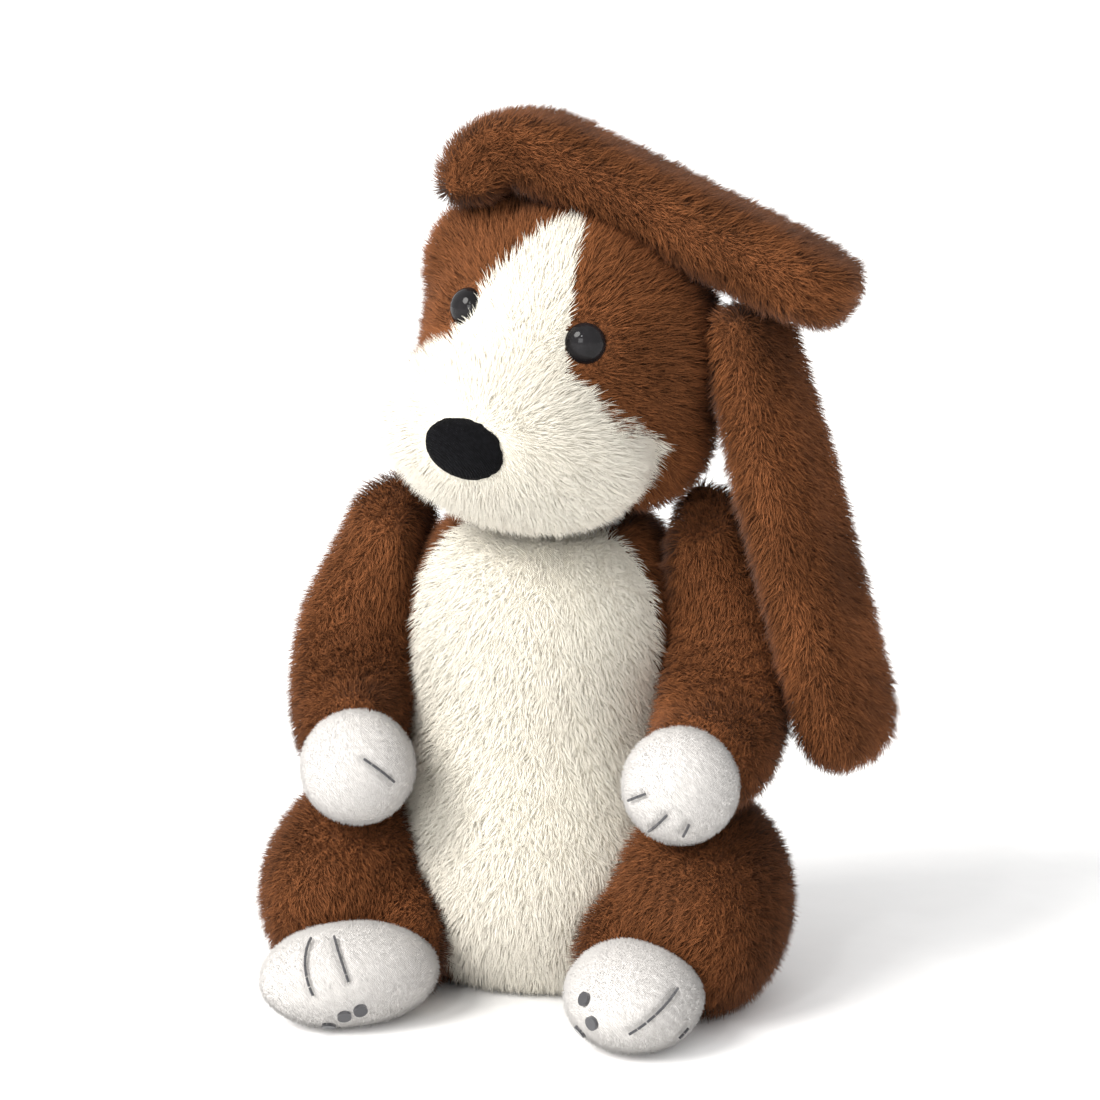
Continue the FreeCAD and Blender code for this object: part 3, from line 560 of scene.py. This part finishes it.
def strands(name, place, normal, comb, length, look, slot, rng):
    """Closed, tapering, three-sided strands in one mesh, with painted light at the tip and painted shade at the
    root.
    """
    count = len(place)
    _, push = waves(place, look["size"], rng)
    stray = rng.normal(size=(count, 3))
    push = push - np.sum(push * normal, axis=1, keepdims=True) * normal
    lay, tuft = look["lay"], look["tuft"]
    first = unit(normal + LOW_LAY * lay * comb + LOW_TUFT * tuft * push + LOW_STRAY * stray)
    second = unit(HIGH_RISE * normal + lay * comb + tuft * push + HIGH_STRAY * stray)
    root = place - normal * SUNK
    middle = root + first * (0.5 * length)[:, None]
    tip = middle + second * (0.5 * length)[:, None]
    side = unit(np.cross(first, stray))
    other = np.cross(first, side)
    # Seven corners each: three at the root, three half way up, and the tip.
    verts = np.empty((count, 7, 3))
    for corner in range(3):
        turn = 2 * math.pi * corner / 3
        reach = (math.cos(turn) * side + math.sin(turn) * other) * look["width"] / 2
        verts[:, corner] = root + reach
        verts[:, 3 + corner] = middle + MIDDLE_WIDTH * reach
    verts[:, 6] = tip
    verts[:, :, 2] = np.maximum(verts[:, :, 2], 0.0)
    # Three lower sides, three upper ones that meet at the tip, and the root's own face.
    pattern = np.array((0, 1, 4, 3, 1, 2, 5, 4, 2, 0, 3, 5, 3, 4, 6, 4, 5, 6, 5, 3, 6, 2, 1, 0))
    starts = np.array((0, 4, 8, 12, 15, 18, 21))
    mesh = bpy.data.meshes.new(name)
    mesh.vertices.add(count * 7)
    mesh.loops.add(count * len(pattern))
    mesh.polygons.add(count * len(starts))
    number = np.arange(count)[:, None]
    mesh.vertices.foreach_set("co", verts.astype(np.float32).ravel())
    mesh.loops.foreach_set("vertex_index", (pattern + 7 * number).astype(np.int32).ravel())
    mesh.polygons.foreach_set(
        "loop_start", (starts + len(pattern) * number).astype(np.int32).ravel())
    broad, _ = waves(place, PATCH_SIZE * look["size"], rng)
    mood = PATCH_MIX * broad + STRAND_MIX * rng.normal(size=count)
    tone = np.digitize(mood, TONE_STEPS)
    # Each strand's upper half takes the next lighter tone after its lower half's: painted shade at the root,
    # painted light at the tip.
    lit_tip_step = np.array((0, 0, 0, 1, 1, 1, 0))
    mesh.polygons.foreach_set(
        "material_index", (tone[:, None] + lit_tip_step).astype(np.int32).ravel())
    mesh.polygons.foreach_set("use_smooth", np.ones(count * len(starts), bool))
    mesh.update(calc_edges=True)
    # Each strand is lit mostly as the cloth under it, which gives deep pile its soft shading.
    shade = unit(normal[:, None] + SELF_SHADE * (verts - verts.mean(axis=1, keepdims=True))
                 / look["width"], axis=2)
    lit = mesh.attributes.new("custom_normal", "FLOAT_VECTOR", "POINT")
    lit.data.foreach_set("vector", shade.astype(np.float32).ravel())
    for material in PILE_LIT_AND_SHADED_TONES[slot]:
        mesh.materials.append(material)
    made = bpy.data.objects.new(name, mesh)
    scene.collection.objects.link(made)
    return made


def room_round(place, form, forms, keep_clear):
    """How long the pile may grow at each point, from 0 to 1."""
    free = np.ones(len(place))
    for other in forms:
        if other is form:
            continue
        apart = np.maximum(other["low"] - form["high"], form["low"] - other["high"])
        if apart.max() > REACH:
            continue
        gap = distances(other["tree"], place, REACH)
        free = np.minimum(free, np.where(gap < 0, 0.0, TOUCHING + (1 - TOUCHING) * gap / REACH))
    for tree, reach in keep_clear:
        free = np.minimum(free, np.abs(distances(tree, place, reach)) / reach)
    return free


def grow(form, forms, comb, rng, keep_clear=()):
    """Covers each panel of a form with the pile of its own finish."""
    mesh = form["made"].data
    looks = [PILE[SLOT_OF[panel]] for panel in form["panels"]]
    densest = max(look["dense"] for look in looks)
    place, normal, face = scatter(mesh, int(area_of(mesh) * densest), rng)
    owner = form["owner"][face]
    free = room_round(place, form, forms, keep_clear)
    for index, panel in enumerate(form["panels"]):
        look = looks[index]
        sparse = rng.uniform(0, 1, len(place)) < look["dense"] / densest
        standing = (normal[:, 2] > FACING_FLOOR) | (place[:, 2] > look["length"])
        mine = (owner == index) & (free > LEAST_ROOM) & sparse & standing
        run = across(comb(place[mine]), normal[mine])
        length = look["length"] * free[mine] * rng.uniform(*LENGTHS, mine.sum())
        pile = strands(panel + "_pile", place[mine], normal[mine], run, length, look,
                       SLOT_OF[panel], rng)
        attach(pile, form["body"])
        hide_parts(panel)


# The way the pile is combed, as a direction at each place.

def comb_down(place):
    """Straight down."""
    return np.broadcast_to(DOWN, place.shape)


def comb_away(centre, droop):
    """Away from a point, with some droop."""
    return lambda place: unit(place - centre) + droop * DOWN


def comb_towards(centre):
    """Towards a point."""
    return lambda place: unit(centre - place)


def comb_along_flung_ear(place):
    """Up from the root, over the crown and down to the tip."""
    points = points_of(node_mesh("right_ear_front_panel"))
    root = JOINT_AT["right_ear_lift"]
    crown = points[points[:, 2].argmax()]
    tip = points[points[:, 0].argmax()]
    share = np.clip((place[:, 0] - root[0]) / (crown[0] - root[0]) / 2, 0, 1)[:, None]
    rise, fall = crown - root, tip - crown
    return rise / np.linalg.norm(rise) * (1 - share) + fall / np.linalg.norm(fall) * share


# ---------------------------------------------------------------- the dog

def sew_all():
    """Every stuffed form of the dog."""
    forms = [
        sew("torso_skin", "torso",
            ["back_left_panel", "back_right_panel", "belly_panel", "seat_panel"],
            ["torso_stuffing", "pellet_bag", "pellets"]),
        sew("head_skin", "head", ["head_left_panel", "head_right_panel", "face_panel"],
            ["head_stuffing"], voxel=3.5 * MM),
        sew("tail_skin", "tail", ["tail_sleeve"], ["tail_stuffing"], voxel=3 * MM),
        sew("nose_skin", "head", ["nose_patch"], voxel=1.2 * MM, swell=NOSE_SWELL),
    ]
    for side in SIDES:
        forms += [
            sew(side + "_ear_skin", side + "_ear",
                [side + "_ear_front_panel", side + "_ear_back_panel"],
                [side + "_ear_wadding"], voxel=3 * MM),
            sew(side + "_arm_skin", side + "_arm", [side + "_arm_sleeve"],
                [side + "_arm_stuffing"], voxel=3 * MM),
            sew(side + "_paw_skin", side + "_arm", [side + "_paw_shell"],
                [side + "_paw_stuffing"], [side + "_paw_stitches"], voxel=2 * MM,
                swell=SMALL_SWELL),
            sew(side + "_leg_skin", side + "_leg", [side + "_leg_sleeve"],
                [side + "_leg_stuffing"], voxel=3.5 * MM),
            sew(side + "_foot_skin", side + "_leg", [side + "_foot_upper", side + "_foot_sole"],
                [side + "_foot_stuffing"], [side + "_foot_stitches"], voxel=2 * MM,
                swell=SMALL_SWELL),
        ]
    return forms


def cut_cloth(forms):
    """The visible cloth of every form, and what it stands for inside."""
    for form in forms:
        pieces = [cut_panel(form, index) for index in range(len(form["panels"]))]
        if form["inside"]:
            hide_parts(*form["inside"])


def grow_all(forms):
    """The pile of every form, combed as on the real toy."""
    rng = np.random.default_rng(SEED)
    form_of = {form["name"]: form for form in forms}
    nose = node_centre("nose_patch")
    clear = {form["name"]: [] for form in forms}
    clear["head_skin"] = [(node_tree(side + "_eye"), EYE_ROOM) for side in SIDES]
    for side in SIDES:
        clear[side + "_paw_skin"] = [(node_tree(side + "_paw_stitches"), STITCH_ROOM)]
        clear[side + "_foot_skin"] = [(node_tree(side + "_foot_stitches"), STITCH_ROOM),
                                      (node_tree(side + "_toe_pads"), PAD_ROOM)]
    combs = {
        "torso_skin": comb_down,
        "head_skin": comb_away(nose, droop=0.35),
        "nose_skin": comb_down,
        "tail_skin": comb_away(JOINT_AT["tail_wag"], droop=0.1),
        "left_ear_skin": comb_down,
        "right_ear_skin": comb_along_flung_ear,
    }
    for side in SIDES:
        paw = node_centre(side + "_paw_shell")
        foot = node_centre(side + "_foot_upper")
        combs[side + "_arm_skin"] = comb_towards(paw)
        combs[side + "_paw_skin"] = comb_away(JOINT_AT[side + "_arm_swing"], droop=0.2)
        combs[side + "_leg_skin"] = comb_towards(foot)
        combs[side + "_foot_skin"] = comb_away(JOINT_AT[side + "_leg_splay"], droop=0.2)
    for name, comb in combs.items():
        grow(form_of[name], forms, comb, rng, clear[name])


def finish_hard_parts():
    """Materials of the CAD nodes that stay in sight."""
    looks = {"eye_plastic": dome_plastic(), "washer_plastic": moulded_plastic(),
             "black_thread": satin_thread("black_thread"),
             "brown_thread": satin_thread("brown_thread")}
    for node, made in frame["nodes"].items():
        if SLOT_OF[node] in looks:
            made.data.materials.clear()
            made.data.materials.append(looks[SLOT_OF[node]])


def make_neck():
    """The ball of filling between head and body."""
    made = joined("neck_filling", ["neck_stuffing"])
    remesh(made, 3 * MM, rounds=2)
    made.data.shade_smooth()
    made.data.materials.append(loose_fibre())
    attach(made, "neck")
    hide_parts("neck_stuffing")


# ---------------------------------------------------------------- studio

def area_light(name, place, aim, size, power):
    """A soft square light that looks at a point; power is in watts."""
    data = bpy.data.lights.new(name, "AREA")
    data.shape = "SQUARE"
    data.size = size
    data.energy = power
    made = bpy.data.objects.new(name, data)
    made.location = place
    made.rotation_euler = (Vector(aim) - Vector(place)).to_track_quat("-Z", "Y").to_euler()
    scene.collection.objects.link(made)


def sun_light(name, towards, strength, spread_angle, colour):
    """A soft distant light that shines in one direction."""
    data = bpy.data.lights.new(name, "SUN")
    data.energy = strength
    data.angle = math.radians(spread_angle)
    data.color = colour
    made = bpy.data.objects.new(name, data)
    made.rotation_euler = Vector(towards).to_track_quat("-Z", "Y").to_euler()
    scene.collection.objects.link(made)


def build_paper():
    """The paper under the dog, which turns up into a wall far behind it."""
    half = 40 * frame_high.z
    mesh = bpy.data.meshes.new("floor")
    mesh.from_pydata([(-half, -half, 0), (half, -half, 0), (half, half, 0), (-half, half, 0),
                      (-half, half, half), (half, half, half)],
                     [], [(0, 1, 2, 3), (3, 2, 5, 4)])
    mesh.materials.append(studio_paper())
    floor = bpy.data.objects.new("floor", mesh)
    scene.collection.objects.link(floor)


def build_studio():
    """White paper, a key light from the front left, a weak front light and a spark for the eyes."""
    build_paper()
    aim = (0, 0, frame_high.z / 2)
    sun_light("key", towards=(0.75, 1.0, -1.0), strength=3.0, spread_angle=28,
              colour=(1.0, 0.98, 0.95))
    area_light("front", (-0.2, -1.5, 0.5), aim, size=0.5, power=5)
    area_light("spark", (-0.1, -1.3, 1.0), aim, size=0.1, power=2)
    world = bpy.data.worlds.new("surround")
    world.use_nodes = True
    surround = world.node_tree.nodes["Background"]
    surround.inputs["Color"].default_value = (1.0, 1.0, 1.0, 1.0)
    surround.inputs["Strength"].default_value = 0.82
    scene.world = world
    scene.view_settings.view_transform = "Standard"


def place_camera():
    """A long lens in front of the dog, a little to its left and above."""
    azimuth, elevation = math.radians(14), math.radians(9.4)
    distance = 1.1                # from the middle of the dog
    seen = 0.374                  # width of the view at that distance
    aim = Vector((0, 0, frame_high.z / 2))
    back = Vector((math.sin(azimuth) * math.cos(elevation),
                   -math.cos(azimuth) * math.cos(elevation), math.sin(elevation)))
    data = bpy.data.cameras.new("camera")
    data.sensor_width = 36
    data.lens = data.sensor_width * distance / seen
    camera = bpy.data.objects.new("camera", data)
    camera.location = aim + back * distance
    camera.rotation_euler = (-back).to_track_quat("-Z", "Y").to_euler()
    scene.collection.objects.link(camera)
    scene.camera = camera


all_forms = sew_all()
grow_all(all_forms)
cut_cloth(all_forms)
# The whole skins have been cut into their panels, so they are no longer needed.
for sewn in all_forms:
    bpy.data.objects.remove(sewn["made"])
make_neck()
finish_hard_parts()
build_studio()
place_camera()
